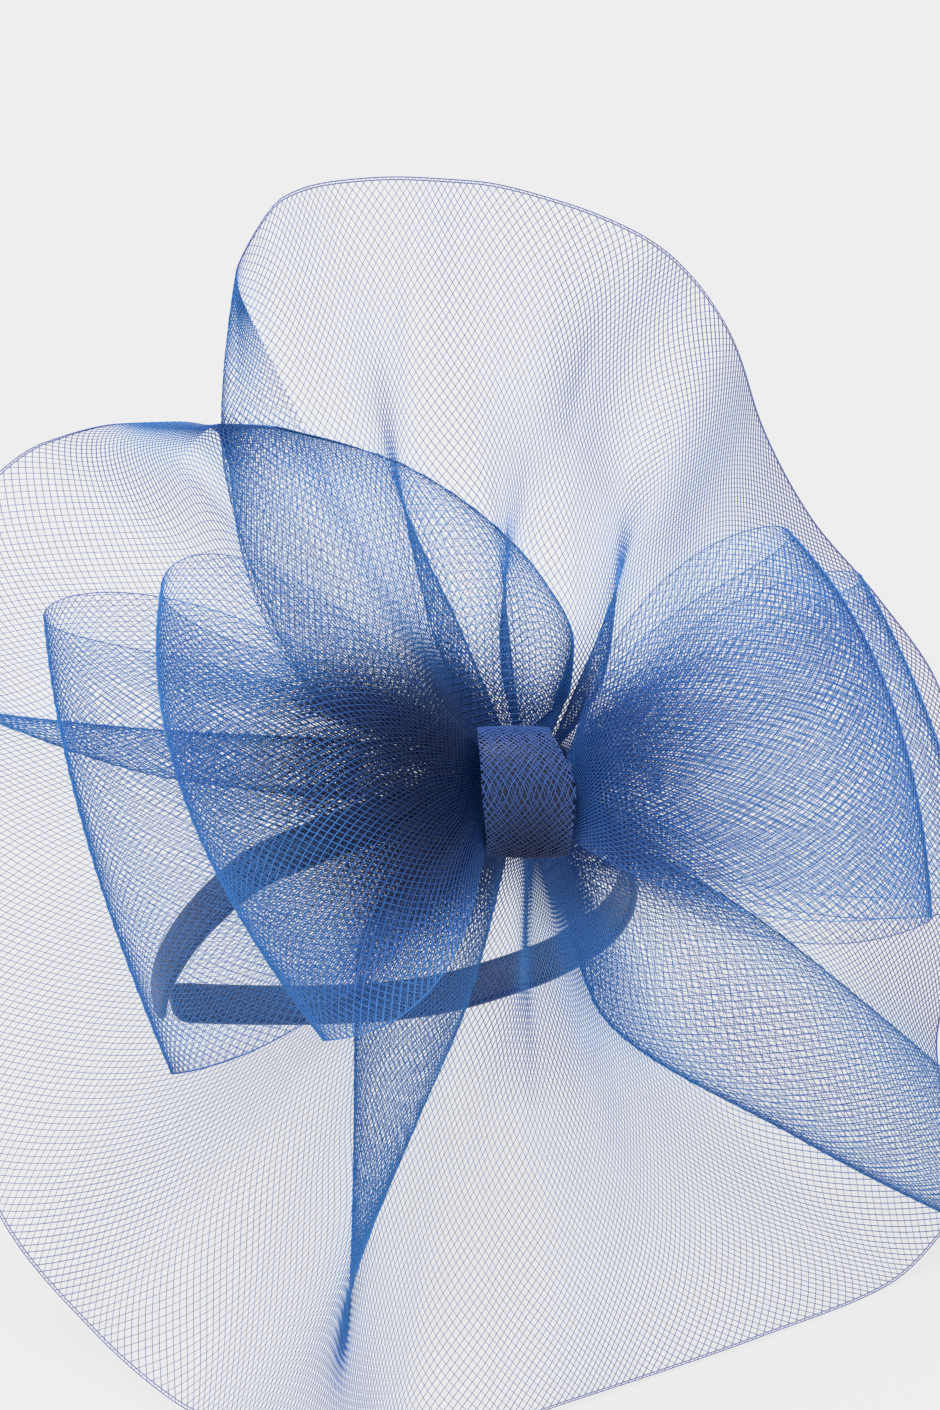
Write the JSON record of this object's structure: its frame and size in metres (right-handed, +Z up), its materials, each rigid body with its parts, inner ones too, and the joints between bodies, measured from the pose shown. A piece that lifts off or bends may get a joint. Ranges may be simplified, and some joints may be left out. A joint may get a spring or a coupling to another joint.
{
  "type": "net fascinator on a headband",
  "caption": "Wide gathered net saucer with pleats and a rolled front fold, a looped net bow and a knot, on a narrow satin-covered headband.",
  "frame": {"origin": "under the middle of the bounding box, on the surface that the object rests on", "axes": "+X to the right as the bow is seen from the front, +Y away from the viewer, +Z up; the net saucer's face leans 35 degrees from level towards -Y"},
  "size_m": [0.2938, 0.2556, 0.2307],
  "materials": {
    "net": "open nylon net in royal blue",
    "bow_net": "open nylon net in royal blue, folded back on itself",
    "gathered_net": "dense gathered net, navy",
    "wrap_net": "folded net in many plies, navy",
    "felt": "stitched felt, navy",
    "satin": "satin ribbon, dark navy"
  },
  "bodies": {
    "root": {"net_saucer": "net", "bow_loop_left_outer": "bow_net", "bow_loop_left_inner": "bow_net", "bow_loop_right_inner": "bow_net", "bow_loop_right_outer": "bow_net", "bow_waist": "gathered_net", "knot_wrap": "wrap_net", "stitched_base": "felt", "headband": "satin"}
  },
  "joints": []
}
